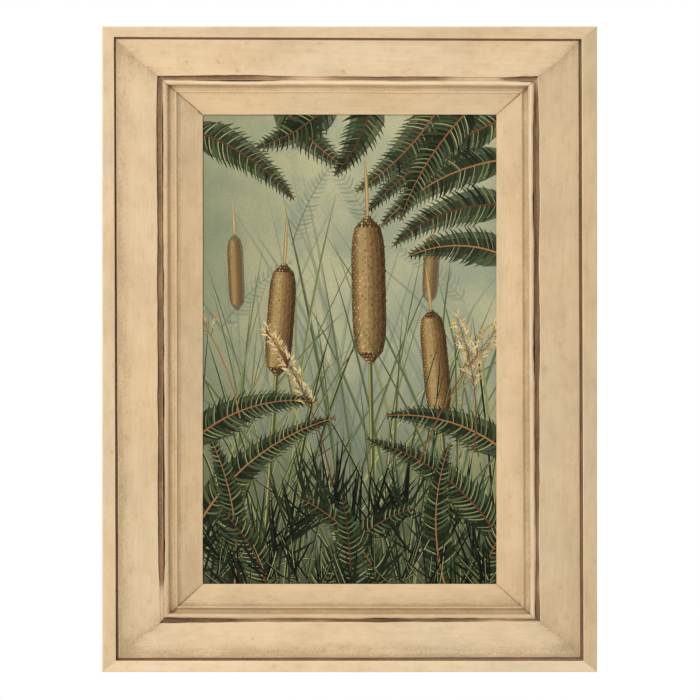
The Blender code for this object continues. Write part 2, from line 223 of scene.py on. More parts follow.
class Shading:
    """One material's nodes, built by short calls that pass sockets on."""

    def __init__(self, name):
        self.material = bpy.data.materials.new(name)
        self.material.use_nodes = True
        self.tree = self.material.node_tree
        self.shader = self.tree.nodes["Principled BSDF"]

    def node(self, kind, inputs=(), **settings):
        """A node with its settings, and a link or a value for each input, by name or place."""
        made = self.tree.nodes.new(kind)
        for name, value in settings.items():
            setattr(made, name, value)
        for name, value in dict(inputs).items():
            self.put(value, made.inputs[name])
        return made

    def put(self, value, socket):
        if isinstance(value, bpy.types.NodeSocket):
            self.tree.links.new(value, socket)
        else:
            socket.default_value = value

    def set(self, name, value):
        self.put(value, self.shader.inputs[name])

    def attribute(self, name, output="Fac"):
        return self.node("ShaderNodeAttribute", attribute_name=name).outputs[output]

    def place(self):
        return self.node("ShaderNodeTexCoord").outputs["Object"]

    def scaled(self, vector, factors):
        inputs = {0: vector, 1: factors}
        return self.node("ShaderNodeVectorMath", inputs, operation="MULTIPLY").outputs[0]

    def split(self, vector):
        return self.node("ShaderNodeSeparateXYZ", {0: vector}).outputs

    def texture(self, kind, vector, scale, **inputs):
        """A texture at one scale, or at a scale for each direction."""
        if isinstance(scale, tuple):
            vector = self.scaled(vector, scale)
            scale = 1.0
        return self.node(kind, {"Vector": vector, "Scale": scale, **inputs}).outputs

    def noise(self, vector, scale, detail=2.0, rough=0.5):
        inputs = {"Detail": detail, "Roughness": rough}
        return self.texture("ShaderNodeTexNoise", vector, scale, **inputs)["Fac"]

    def cells(self, vector, scale):
        return self.texture("ShaderNodeTexVoronoi", vector, scale)["Distance"]

    def math(self, operation, *values):
        return self.node("ShaderNodeMath", enumerate(values), operation=operation).outputs[0]

    def ramp(self, value, low, high, start=0.0, end=1.0):
        """A value's way from low to high, eased, as a number from start to end."""
        inputs = enumerate((value, low, high, start, end))
        made = self.node("ShaderNodeMapRange", inputs, interpolation_type="SMOOTHSTEP")
        return made.outputs["Result"]

    def times(self, first, last):
        return self.math("MULTIPLY", first, last)

    def mix(self, share, first, last, how="MIX"):
        inputs = {"Factor": share, 6: first, 7: last}
        return self.node("ShaderNodeMix", inputs, data_type="RGBA", blend_type=how).outputs[2]

    def blend(self, share, *colours):
        """Two colours mixed by a share, where a tuple is a colour of 0 to 255 steps."""
        shown = [(*linear(each), 1) if isinstance(each, tuple) else each for each in colours]
        return self.mix(share, *shown)

    def tinted(self, colour, tint):
        """A colour times a tint, which is a tuple of three factors or a socket."""
        factor = (*tint, 1) if isinstance(tint, tuple) else tint
        return self.mix(1.0, colour, factor, "MULTIPLY")

    def grey(self, value):
        return self.node("ShaderNodeCombineColor", enumerate((value,) * 3)).outputs[0]

    def finish(self, colour, rough, gloss=0.5):
        """The finished material, with its colour, roughness and gloss."""
        self.set("Base Color", colour)
        self.set("Roughness", rough)
        self.set("Specular IOR Level", gloss)
        return self.material

    def bump(self, height, strength, distance):
        inputs = {"Height": height, "Strength": strength, "Distance": distance}
        self.set("Normal", self.node("ShaderNodeBump", inputs).outputs["Normal"])


def washed_wood():
    """Pale washed wood with brown glaze left in its recesses, and bare wood at the back."""
    make = Shading("washed_wood")
    grain = make.attribute("grain", "Vector")
    glaze = make.attribute("glaze")
    stain = make.attribute("stain")
    wear = make.attribute("wear")
    bare = make.attribute("bare")
    tone = make.attribute("tone", "Color")

    fibres = make.noise(grain, (18, 900, 1), detail=3)
    streaks = make.noise(grain, (5, 160, 1))
    blotches = make.noise(grain, (22, 45, 1), detail=4, rough=0.6)
    cloud = make.noise(grain, (7, 9, 1))

    along, across, _seed = make.split(grain)
    drift = make.noise(grain, (9, 25, 1))
    width = make.math("MULTIPLY_ADD", drift, 0.012, across)
    width = make.math("SUBTRACT", width, 0.030)
    radius = make.math("SQRT", make.math("ADD", make.times(width, width), 0.0002))
    ring = make.math("MULTIPLY_ADD", along, -0.028, radius)
    ring = make.math("FRACT", make.times(ring, 300))
    late = make.math("POWER", ring, 3.0)

    light = make.tinted(tone, (1.05, 1.045, 1.04))
    dull = make.tinted(tone, (0.92, 0.90, 0.87))
    colour = make.mix(make.ramp(blotches, 0.35, 0.75), light, dull)
    warm = make.tinted(colour, (1.02, 0.985, 0.95))
    grey = make.tinted(colour, (0.97, 0.985, 1.0))
    colour = make.mix(make.ramp(cloud, 0.35, 0.65), warm, grey)
    line = make.tinted(colour, (0.91, 0.885, 0.85))
    colour = make.mix(make.times(late, 0.35), colour, line)
    fine = make.math("MULTIPLY_ADD", fibres, 0.5, make.times(streaks, 0.5))
    colour = make.mix(make.ramp(fine, 0.4, 0.7, 0.0, 0.5), colour, line)

    speckle = make.noise(grain, (520, 760, 1), detail=4, rough=0.72)
    smear = make.noise(grain, (38, 210, 1), detail=3)
    patchy = make.times(glaze, make.ramp(smear, 0.25, 0.7, 0.65, 1.25))
    rise = make.math("MULTIPLY_ADD", patchy, -0.36, 0.62)
    cover = make.ramp(speckle, rise, make.math("ADD", rise, 0.30))
    cover = make.times(cover, make.ramp(glaze, 0.0, 0.15))
    glaze_colour = make.blend(smear, (140, 113, 72), (172, 146, 106))
    wash = make.tinted(colour, (0.72, 0.69, 0.65))
    colour = make.mix(make.times(patchy, 0.56), colour, wash)
    colour = make.mix(make.times(cover, 0.46), colour, glaze_colour)

    mottle = make.noise(grain, (95, 150, 1), detail=5, rough=0.65)
    soiled = make.tinted(colour, (0.93, 0.905, 0.86))
    colour = make.mix(make.ramp(mottle, 0.45, 0.72), colour, soiled)
    fleck = make.ramp(mottle, 0.655, 0.73, 0.0, 0.5)
    colour = make.blend(fleck, colour, (176, 144, 102))
    dots = make.cells(grain, (420, 700, 1))
    few = make.noise(grain, (51, 102, 1.7))
    specks = make.times(make.ramp(dots, 0.16, 0.08), make.ramp(few, 0.56, 0.68))
    colour = make.blend(make.times(specks, 0.4), colour, (150, 120, 82))

    # Rounded edges lightened towards cream: rubbed paint, along with a painted highlight where the
    # edges catch the light
    worn_and_highlighted = make.times(wear, make.ramp(smear, 0.3, 0.6, 0.35, 1.0))
    colour = make.blend(make.times(worn_and_highlighted, 0.8), colour, (242, 222, 188))

    umber = make.ramp(make.math("ADD", smear, speckle), 0.75, 1.25)
    crack = make.blend(umber, (160, 130, 100), (192, 158, 122))
    trench = make.blend(umber, (114, 87, 59), (156, 121, 80))
    deep = make.mix(make.attribute("groove"), crack, trench)
    edge = make.math("ADD", stain, make.times(make.math("SUBTRACT", speckle, 0.5), 0.5))
    colour = make.mix(make.ramp(edge, 0.2, 0.8), colour, deep)

    back = make.blend(fibres, (214, 182, 138), (188, 150, 104))
    back = make.blend(make.times(late, 0.6), back, (166, 122, 78))
    colour = make.mix(bare, colour, back)

    height = make.math("ADD", fine, make.times(speckle, 0.5))
    make.bump(height, 0.35, 0.0002)
    return make.finish(colour, make.ramp(blotches, 0.3, 0.7, 0.52, 0.72), 0.35)


class Section:
    """A stick's section, as points with a line, a height and paint values each."""

    def __init__(self, line, height):
        self.points = []
        self.move(line, height)

    def move(self, line, height, marked=False):
        self.line = line
        self.height = height
        self.marked = marked

    def mark(self, line, height, **paint):
        """One point, which the section goes on from."""
        self.points.append((line, height, paint))
        self.move(line, height, True)

    def run(self, line, height, count, **paint):
        """Equal steps towards a line and a height, whose own point is left to what follows.

        A paint value is one number, or the pair of numbers at the start and at the end.
        """
        for step in range(int(self.marked), count):
            share = step / count
            values = {}
            for name, value in paint.items():
                first, last = value if isinstance(value, tuple) else (value, value)
                values[name] = first + (last - first) * share
            level = self.height + (height - self.height) * share
            self.points.append((between(self.line, line, share), level, values))
        self.move(line, height)

    def round(self, line, direction, height, radius, **paint):
        """A quarter round between a wall on the line and the face at a height.

        Direction 1 climbs from the wall to a face inwards of it, and -1 comes down from a
        face outwards of the wall.
        """
        for step in range(ROUND_STEPS + 1)[::direction]:
            angle = math.pi / 2 * step / ROUND_STEPS
            inward = direction * radius * (1 - math.cos(angle))
            drop = radius * (1 - math.sin(angle))
            self.mark(moved_in(line, inward), height - drop, wear=math.sin(2 * angle), **paint)


def strip_section():
    """The outer strip's section, from the foot of its outer wall clockwise to its back."""
    outer = 0.0012
    inner = 0.0007
    glazed = 0.003
    top = STRIP_TOP
    pen = Section(OUTER_EDGE, 0)
    pen.run(OUTER_EDGE, top - outer, 6, glaze=0.12)
    pen.round(OUTER_EDGE, 1, top, outer)
    pen.run(moved_in(STRIP_INNER, -inner), top, 8)
    pen.round(STRIP_INNER, -1, top, inner)
    pen.run(STRIP_INNER, top - inner - glazed, 4, stain=(0.1, 1.0))
    pen.run(STRIP_INNER, 0, 3, stain=1)
    pen.run(OUTER_EDGE, 0, 3, bare=1)
    pen.mark(moved_in(OUTER_EDGE, BACK_RIM), 0, bare=1)
    return pen.points


def board_section():
    """The flat board's section, with the tongues that carry it to its neighbours."""
    radius = 0.0007
    glazed = 0.001
    smudged = 0.017
    steady = 0.004
    top = BOARD_TOP
    outer_seat = moved_in(STRIP_INNER, SEAT_GAP)
    inner_seat = moved_in(MOULDING_OUTER, -SEAT_GAP)
    pen = Section(outer_seat, 0)
    pen.run(outer_seat, GAP_FLOOR, 3, stain=1, rise=(0, 1))
    pen.run(BOARD_OUTER, GAP_FLOOR, 2, stain=1, rise=1)
    pen.run(BOARD_OUTER, top - radius - glazed, 3, stain=1, rise=(1, 0))
    pen.run(BOARD_OUTER, top - radius, 3, stain=(1, 0.15))
    pen.round(BOARD_OUTER, 1, top, radius, smudge=1)
    pen.run(moved_in(BOARD_OUTER, smudged), top, 10, smudge=(1, 0))
    pen.run(moved_in(BOARD_INNER, -steady), top, 8)
    pen.run(moved_in(BOARD_INNER, -radius), top, 4, pull=(0, -1))
    pen.round(BOARD_INNER, -1, top, radius, pull=-1)
    pen.run(BOARD_INNER, GROOVE_FLOOR, 5, stain=(0.2, 1), pull=-1, groove=1, fill=(0, 1))
    pen.run(inner_seat, GROOVE_FLOOR, 4, stain=1, pull=(-1, 0), groove=1, fill=1)
    pen.run(inner_seat, 0, 3, stain=1, fill=(1, 0))
    pen.run(outer_seat, 0, 4, bare=1)
    pen.mark(moved_in(outer_seat, BACK_RIM), 0, bare=1)
    return pen.points


def moulding_section():
    """The inner moulding: bead, cove, fillet, falling flat band, sight edge and rebate."""
    bead_steps = 14
    cove_steps = 10
    lip = 0.0002
    radius = 0.0006
    pen = Section(MOULDING_OUTER, 0)
    pen.run(MOULDING_OUTER, GROOVE_FLOOR, 3, stain=1)
    pen.run(MOULDING_OUTER, BEAD_FOOT, 5, stain=(1, 0.55), pull=1, groove=1)
    for step in range(bead_steps + 1):
        angle = math.pi * step / bead_steps
        share = BEAD_SHARE / 2 * (1 - math.cos(angle))
        pen.mark(
            between(MOULDING_OUTER, SIGHT, share),
            BEAD_FOOT + (BEAD_TOP - BEAD_FOOT) * math.sin(angle),
            stain=max(0.0, 0.5 - 3.0 * share / BEAD_SHARE),
            pull=1 - share / BEAD_SHARE,
            groove=1,
            wear=math.sin(angle) ** 4,
            cove=max(0.0, step / bead_steps * 2 - 1),
            bead=1,
        )
    for step in range(1, cove_steps):
        way = step / cove_steps
        share = BEAD_SHARE + (FILLET_START - BEAD_SHARE) * way
        rim = BEAD_FOOT + (FILLET_TOP - BEAD_FOOT) * way
        height = rim - COVE_DEPTH * math.sin(math.pi * way)
        pen.mark(between(MOULDING_OUTER, SIGHT, share), height, cove=1)
    end = between(MOULDING_OUTER, SIGHT, FILLET_END)
    pen.move(between(MOULDING_OUTER, SIGHT, FILLET_START), FILLET_TOP)
    pen.run(end, FILLET_TOP, 4, cove=(0.5, 0.1))
    pen.mark(end, FILLET_TOP, wear=0.6)
    pen.move(end, FILLET_TOP - lip)
    pen.run(end, FILLET_FOOT, 2, toe=1)
    fall = (SIGHT_TOP - FILLET_FOOT) / (1 - FILLET_END)
    toe_height = FILLET_FOOT + fall * (TOE_END - FILLET_END)
    pen.run(between(MOULDING_OUTER, SIGHT, TOE_END), toe_height, 8, toe=(1, 0.3))
    pen.run(moved_in(SIGHT, -radius), SIGHT_TOP, 12, toe=(0.3, 0))
    pen.round(SIGHT, -1, SIGHT_TOP, radius)
    pen.run(SIGHT, REBATE_CEILING, 2, stain=0.3)
    wall = between(MOULDING_OUTER, SIGHT, REBATE_SHARE)
    pen.run(wall, REBATE_CEILING, 2, bare=1)
    pen.run(wall, 0, 3, bare=1)
    pen.run(MOULDING_OUTER, 0, 3, bare=1)
    pen.mark(moved_in(MOULDING_OUTER, BACK_RIM), 0, bare=1)
    return pen.points


# How much each side's bead and fillet are lightened, which is wear along with a painted highlight,
# and how much glaze each side keeps: smudged along the board's outer edge, on the bead, in the
# cove and at the toe of the flat band
WORN_AND_HIGHLIGHTED = by_side(0.9, 0.7, 0.15, 0.15)
SMUDGE = by_side(0.16, 0.30, 0.92, 0.88)
BEAD = by_side(0.0, 0.06, 0.0, 0.40)
COVE = by_side(0.66, 0.74, 1.08, 0.56)
TOE = by_side(0.20, 0.20, 1.50, 1.35)

# How dark the gap's glaze is, and how much glaze gathers at the mitres
CRACK = by_side(0.56, 1.0, 0.85, 1.0)
CORNER = {"outer_strip": 0.20, "board": 0.75, "moulding": 0.35}
CORNER_REACH = 0.009

# How far old glaze and filler raise the groove's floor, where it is dark and where it is
# light, and the gap's floor on each side
FILL_DARK = 0.0011
FILL_LIGHT = 0.0028
RISE = by_side(0.0014, 0.0, 0.0009, 0.0)

# Unevenness of the wood, each kind with its spacing: the groove's rough walls, the waves of
# worn edges, and the dents in them, which start where their wander passes a level
ROUGH = 0.00018
ROUGH_SPACING = 0.006
WAVE = 0.00012
WAVE_SPACING = 0.045
DENT = 0.0007
DENT_SPACING = 0.0045
DENT_FROM = 0.55

# Seeds of the groove's walls and of the first stick, the step to each next stick's seed, and
# how far a seed moves its stick's grain
GROOVE_SEED = 91
FIRST_SEED = 17
SEED_STEP = 7
GRAIN_SHIFT = 0.37


def groove_at(side, places):
    """The groove's extra width on each of its walls, and its darkness, along a side."""
    stations = np.array(GROOVE[side]) / GROOVE_UNITS
    ends = [b - a for a, b in zip(BOARD_INNER[side], MOULDING_OUTER[side])]
    nominal = np.interp(places, (places.min(), places.max()), ends)
    width = np.interp(places, stations[:, 0], stations[:, 1])
    dark = np.interp(places, stations[:, 0], stations[:, 2])
    rough = wander(GROOVE_SEED + SIDES.index(side), places, ROUGH_SPACING) * ROUGH
    return (width - nominal) / 2 + rough, dark


def end_triangles(section, side):
    """Triangles over a section, turned as its points run, that keep every point of its edge."""
    points = [Vector((sum(line[side]) / 2, height)) for line, height, _values in section]
    order = list(range(len(points)))
    turned = sum(a.x * b.y - b.x * a.y for a, b in zip(points, points[1:] + points[:1]))
    if turned < 0:
        order.reverse()
    found = delaunay_2d_cdt(points, [], [order], 1, 1e-9, True)
    made = []
    for face in found[2]:
        face = [found[3][corner][0] for corner in face]
        made.append(face if turned > 0 else face[::-1])
    return made


def stick(ring, side, section, seed, wood):
    """One mitred stick of fine mesh, which stands for the CAD stick of the same name."""
    name = f"{ring}_{side}"
    first = SIDES.index(side)
    last = (first + 1) % 4
    run = np.array(ALONG[side], float)
    inward = np.array(INWARDS[side], float)
    middle = np.array((MIDDLE_X, MIDDLE_Z))
    starts = np.array([tuple(corners(line)[first]) for line, _height, _values in section])
    ends = np.array([tuple(corners(line)[last]) for line, _height, _values in section])
    starts = starts + run * MITRES[ring]
    ends = ends - run * MITRES[ring]
    heights = np.array([height for _line, height, _values in section])

    def channel(key):
        return np.array([values.get(key, 0.0) for _line, _height, values in section])

    length = float(np.abs((ends - starts) @ run).max())
    rows = max(2, round(length / ROW_STEP)) + 1
    share = np.linspace(0, 1, rows)[:, None, None]
    flat = starts[None] * (1 - share) + ends[None] * share
    places = (flat - middle) @ run

    extra, dark = groove_at(side, places)
    flat = flat + (channel("pull") * extra)[:, :, None] * inward
    span = (ends - starts) @ run
    from_mitre = np.minimum(share[:, :, 0], 1 - share[:, :, 0]) * span
    free = 1 - np.exp(-from_mitre / CORNER_REACH)
    wave = wander(seed, places, WAVE_SPACING) * WAVE * free
    flat = flat + (wave * (channel("wear") > 0))[:, :, None] * inward
    dents = np.clip(wander(seed + 1, places, DENT_SPACING) - DENT_FROM, 0, None) * DENT * free
    height = heights[None] - dents * channel("wear") ** 0.5
    filled = FILL_DARK + (FILL_LIGHT - FILL_DARK) * (1 - dark)
    height = height + channel("fill") * filled + channel("rise") * RISE[side]

    verts = np.stack((flat[:, :, 0], -height, flat[:, :, 1]), axis=2)

    steps = np.linalg.norm(np.roll(verts, -1, axis=1) - verts, axis=2)
    arc = (np.cumsum(steps, axis=1) - steps)[rows // 2]
    grain = np.stack(np.broadcast_arrays(places, arc, seed * GRAIN_SHIFT), axis=2)

    glaze = channel("glaze") + SMUDGE[side] * channel("smudge") + BEAD[side] * channel("bead")
    glaze = glaze + COVE[side] * channel("cove") + TOE[side] * channel("toe")
    # The edge lightening of each side's moulding, which is wear and painted highlight
    worn_and_highlighted = channel("wear") * (WORN_AND_HIGHLIGHTED[side] if ring == "moulding" else 1)
    pooled = CORNER[ring] * np.exp(-from_mitre / CORNER_REACH) * (channel("bare") == 0)
    painted = {
        "glaze": glaze + pooled,
        "stain": channel("stain") * np.where(channel("groove") > 0, dark, CRACK[side]),
        "wear": worn_and_highlighted,
        "bare": channel("bare"),
        "groove": channel("groove"),
    }

    count = len(section)
    faces = []
    for row in range(rows - 1):
        low = row * count
        high = low + count
        for column in range(count):
            beside = (column + 1) % count
            faces.append((low + column, low + beside, high + beside, high + column))
    for face in end_triangles(section, side):
        faces.append(face[::-1])
        faces.append([(rows - 1) * count + column for column in face])

    mesh = bpy.data.meshes.new(name)
    mesh.from_pydata(verts.reshape(-1, 3).tolist(), [], faces)
    for key, values in painted.items():
        attach(mesh, key, "FLOAT", "POINT", "value", np.broadcast_to(values, (rows, count)))
    attach(mesh, "grain", "FLOAT_VECTOR", "POINT", "vector", grain)
    tone = (*linear(TONES[ring][side]), 1.0)
    attach(mesh, "tone", "FLOAT_COLOR", "POINT", "color", np.tile(tone, rows * count))
    mesh.shade_smooth()
    mesh.set_sharp_from_angle(angle=SMOOTH_UP_TO)
    mesh.materials.append(wood)

    piece = placed(f"{name}_fine", mesh)
    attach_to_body(piece, "root")
    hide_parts(name)


# The print: its outlines are laid down from back to front, in metres from the print's middle.
# It is cut into tiles, whose rows are joined into bands of like numbers of triangles. It laps
# under the moulding, and lifts off its panel by a hair
PRINT_TILES = (26, 40)
PRINT_BANDS = (0, 4, 7, 11, 20, 40)
PRINT_LAP = 0.0008
PRINT_LIFT = 0.00001

# Distance within which the outlines' points are one, the angle up to which faces of one ink are
# merged, and how much more than its own area an outline may fill, or it is left out as crossed
PRINT_WELD = 1e-7
PRINT_FLAT = 0.1
PRINT_OVERFILL = 1.3

INK = {
    "ghost": ((120, 130, 118), (108, 120, 110), (136, 144, 124), (126, 132, 108)),
    "mist": ((112, 116, 78), (98, 104, 68), (136, 136, 94), (88, 98, 68)),
    "leaf": ((52, 64, 34), (40, 50, 26), (76, 82, 48), (26, 36, 18), (60, 76, 50)),
    "deep": ((14, 18, 6), (24, 30, 14), (8, 12, 3), (34, 40, 22)),
    "shine": ((156, 156, 104), (134, 140, 90), (172, 168, 118), (118, 128, 84)),
    "twig": ((132, 82, 48), (112, 70, 40), (156, 108, 64), (96, 56, 34)),
    "straw": ((200, 176, 122), (184, 158, 104), (212, 192, 142), (166, 138, 88)),
    "velvet": ((122, 86, 48), (98, 66, 36), (146, 106, 62), (78, 52, 28)),
}


def way_along(spine, share):
    """The point at a share of the way along a spine."""
    marks = np.linspace(0, 1, len(spine))
    return [np.interp(share, marks, spine[:, axis]) for axis in (0, 1)]


class Drawing:
    """Flat outlines with an ink colour and a coverage each, from back to front."""

    def __init__(self, seed):
        self.draw = random.Random(seed)
        self.outlines = []
        self.inks = []

    def ink(self, name):
        """One of an ink's shades, a little varied."""
        shade = self.draw.choice(INK[name])
        gain = self.draw.uniform(0.92, 1.08)
        return tuple(min(255, step * gain) for step in shade)

    def lay(self, outline, colour, cover):
        outline = np.array(outline)
        ahead = np.roll(outline, -1, axis=0)
        if (outline[:, 0] * ahead[:, 1] - ahead[:, 0] * outline[:, 1]).sum() < 0:
            outline = outline[::-1]
        self.outlines.append(outline)
        self.inks.append((*linear(colour), cover))

    def stroke(self, spine, widths, colour, cover):
        """A stroke along a spine, as wide at each of its points as told."""
        spine = np.array(spine)
        run = np.gradient(spine, axis=0)
        run /= np.linalg.norm(run, axis=1)[:, None] + 1e-9
        beside = np.stack((-run[:, 1], run[:, 0]), axis=1) * np.array(widths)[:, None] / 2
        outline = np.concatenate((spine + beside, (spine - beside)[::-1]))
        self.lay(outline, colour, cover)

    def curve(self, foot, heading, length, bend, steps):
        """A spine from a foot along a heading, turning by the bend on its way."""
        points = [np.array(foot, float)]
        for step in range(steps):
            angle = heading + bend * (step + 0.5) / steps
            move = np.array((math.cos(angle), math.sin(angle))) * length / steps
            points.append(points[-1] + move)
        return np.array(points)

    def blade(self, foot, heading, length, width, bend, body, shine, cover, steps=4):
        """A pointed blade, with a lit edge beside its middle where a shine is given."""
        spine = self.curve(foot, heading, length, bend, steps)
        share = np.linspace(0, 1, steps + 1)
        widths = width * np.maximum(np.sqrt(share * 0.8 + 0.2) * (1 - share ** 2.2), 0.03)
        self.stroke(spine, widths, self.ink(body), cover)
        if shine:
            lit = spine[:-1] + np.array((0.16, 0.05)) * width
            self.stroke(lit, widths[:-1] * 0.26, self.ink(shine), cover)

    def tuft(self, foot, heading, spread, count, length, width, body, shine, cover, lit=0.5):
        """Blades that fan out from one foot, the longest in the middle."""
        for _each in range(count):
            turn = self.draw.gauss(0, 1)
            reach = length * self.draw.uniform(0.7, 1.1) * math.exp(-turn * turn * 0.12)
            start = (foot[0] + self.draw.gauss(0, 0.004), foot[1] + self.draw.gauss(0, 0.003))
            edge = shine if self.draw.random() < lit else None
            thick = width * self.draw.uniform(0.7, 1.2)
            bend = -turn * 0.35 * spread
            self.blade(start, heading + turn * spread, reach, thick, bend, body, edge, cover)

    def frond(
        self, foot, heading, length, bend, body, shine, rib, cover, reach=0.02, lit=0.5, shade=0
    ):
        """A frond: a rib with narrow leaflets down both sides, shorter towards its tip."""
        steps = 10
        spine = self.curve(foot, heading, length, bend, steps)
        pairs = round(length / 0.0046)
        marks = np.linspace(0, 1, steps + 1)
        if shade:
            swell = reach * (1 - marks) ** 0.7 * np.minimum(1, 0.45 + marks * 3)
            self.stroke(spine, swell * 1.05, (34, 42, 20), shade)
            self.stroke(spine, swell * 0.60, (16, 20, 8), shade)
        for index in range(pairs):
            share = 0.06 + 0.94 * index / pairs
            at = way_along(spine, share)
            facing = heading + bend * share
            size = reach * (1 - share) ** 0.7 * min(1, 0.45 + share * 3) + 0.002
            for side in (-1, 1):
                angle = facing + side * self.draw.uniform(1.15, 1.3)
                thick = self.draw.uniform(0.0042, 0.0052) * (1 - 0.55 * share)
                edge = shine if self.draw.random() < lit else None
                long = size * self.draw.uniform(0.72, 0.8)
                self.blade(at, angle, long, thick, -side * 0.55, body, edge, cover)
        widths = np.linspace(0.0017, 0.0005, steps + 1)
        self.stroke(spine, widths, self.ink(rib), min(1, cover * 1.1))

    def head(self, foot, heading, long, wide, cover):
        """A reed mace: velvety head with stippled rows, and the spike above it."""
        axis = np.array((math.cos(heading), math.sin(heading)))
        across = np.array((axis[1], -axis[0]))
        foot = np.array(foot)
        rows = 14
        share = np.linspace(0, 1, rows)
        full = (1 - np.abs(2 * share - 1) ** 5) ** 0.5
        widths = wide * np.maximum(full, 0.12)
        spine = foot + axis * long * share[:, None]
        tip = foot + axis * long
        spike = self.curve(tip, heading, long * 0.42, 0.05, 5)
        self.stroke(spike, [0.0024, 0.0030, 0.0034, 0.0028, 0.0018, 0.0004], (150, 122, 74), cover)
        self.stroke(spike, [0.0008, 0.0012, 0.0014, 0.0010, 0.0006, 0.0002], (206, 184, 130), 0.7)
        self.stroke(spine, widths, (70, 46, 22), cover)
        for shift, part, colour in (
            (-0.05, 0.84, (96, 68, 34)), (-0.09, 0.66, (118, 88, 48)),
            (-0.13, 0.46, (142, 112, 66)), (-0.16, 0.26, (166, 138, 88)),
        ):
            inner = spine[1:-1] + across * wide * shift
            self.stroke(inner, widths[1:-1] * part, colour, cover)
        lines = round(long / 0.0026)
        for line in range(lines):
            along = (line + 0.5) / lines
            half = np.interp(along, share, widths) / 2
            dots = 9
            for dot in range(dots):
                side = (dot + 0.5 + (line % 2) * 0.5) / dots * 2 - 1
                if abs(side) > 0.96:
                    continue
                lean = math.sin(side * math.pi / 2) * half
                jitter = self.draw.gauss(0, 0.00022)
                at = foot + axis * (long * along + jitter) + across * (lean + jitter)
                light = 1 - min(1, abs(side + 0.34) * 1.05)
                tone = self.draw.choice((48, 84)) + 128 * light * self.draw.uniform(0.5, 1.1)
                colour = (tone, tone * 0.84, tone * 0.56)
                size = 0.033 * wide * self.draw.uniform(0.8, 1.25)
                thin = size * (1 - 0.5 * abs(side))
                self.lay(
                    (at + axis * size * 1.5, at + across * thin, at - axis * size, at - across * thin),
                    colour,
                    cover,
                )

    def panicle(self, foot, heading, length, bend, seeds, stem, cover):
        """A loose spray of seeds on thin side stems."""
        steps = 8
        spine = self.curve(foot, heading, length, bend, steps)
        self.stroke(spine, np.linspace(0.0014, 0.0004, steps + 1), self.ink(stem), cover)
        sprays = round(length / 0.007)
        for index in range(sprays):
            share = 0.45 + 0.55 * index / sprays
            at = way_along(spine, share)
            side = 1 if index % 2 else -1
            turn = heading + bend * share + side * self.draw.uniform(0.5, 0.9)
            size = 0.024 * (1.25 - share) * self.draw.uniform(0.8, 1.2)
            twig = self.curve(at, turn, size, -side * 0.7, 4)
            self.stroke(twig, (0.0007, 0.0006, 0.0005, 0.0004, 0.0003), self.ink(stem), cover)
            for place in (0.35, 0.5, 0.65, 0.8, 0.95):
                spot = way_along(twig, place)
                lean = turn + self.draw.uniform(-0.9, 0.9)
                self.blade(spot, lean, 0.0056, 0.0021, 0.2, seeds, None, cover, steps=3)


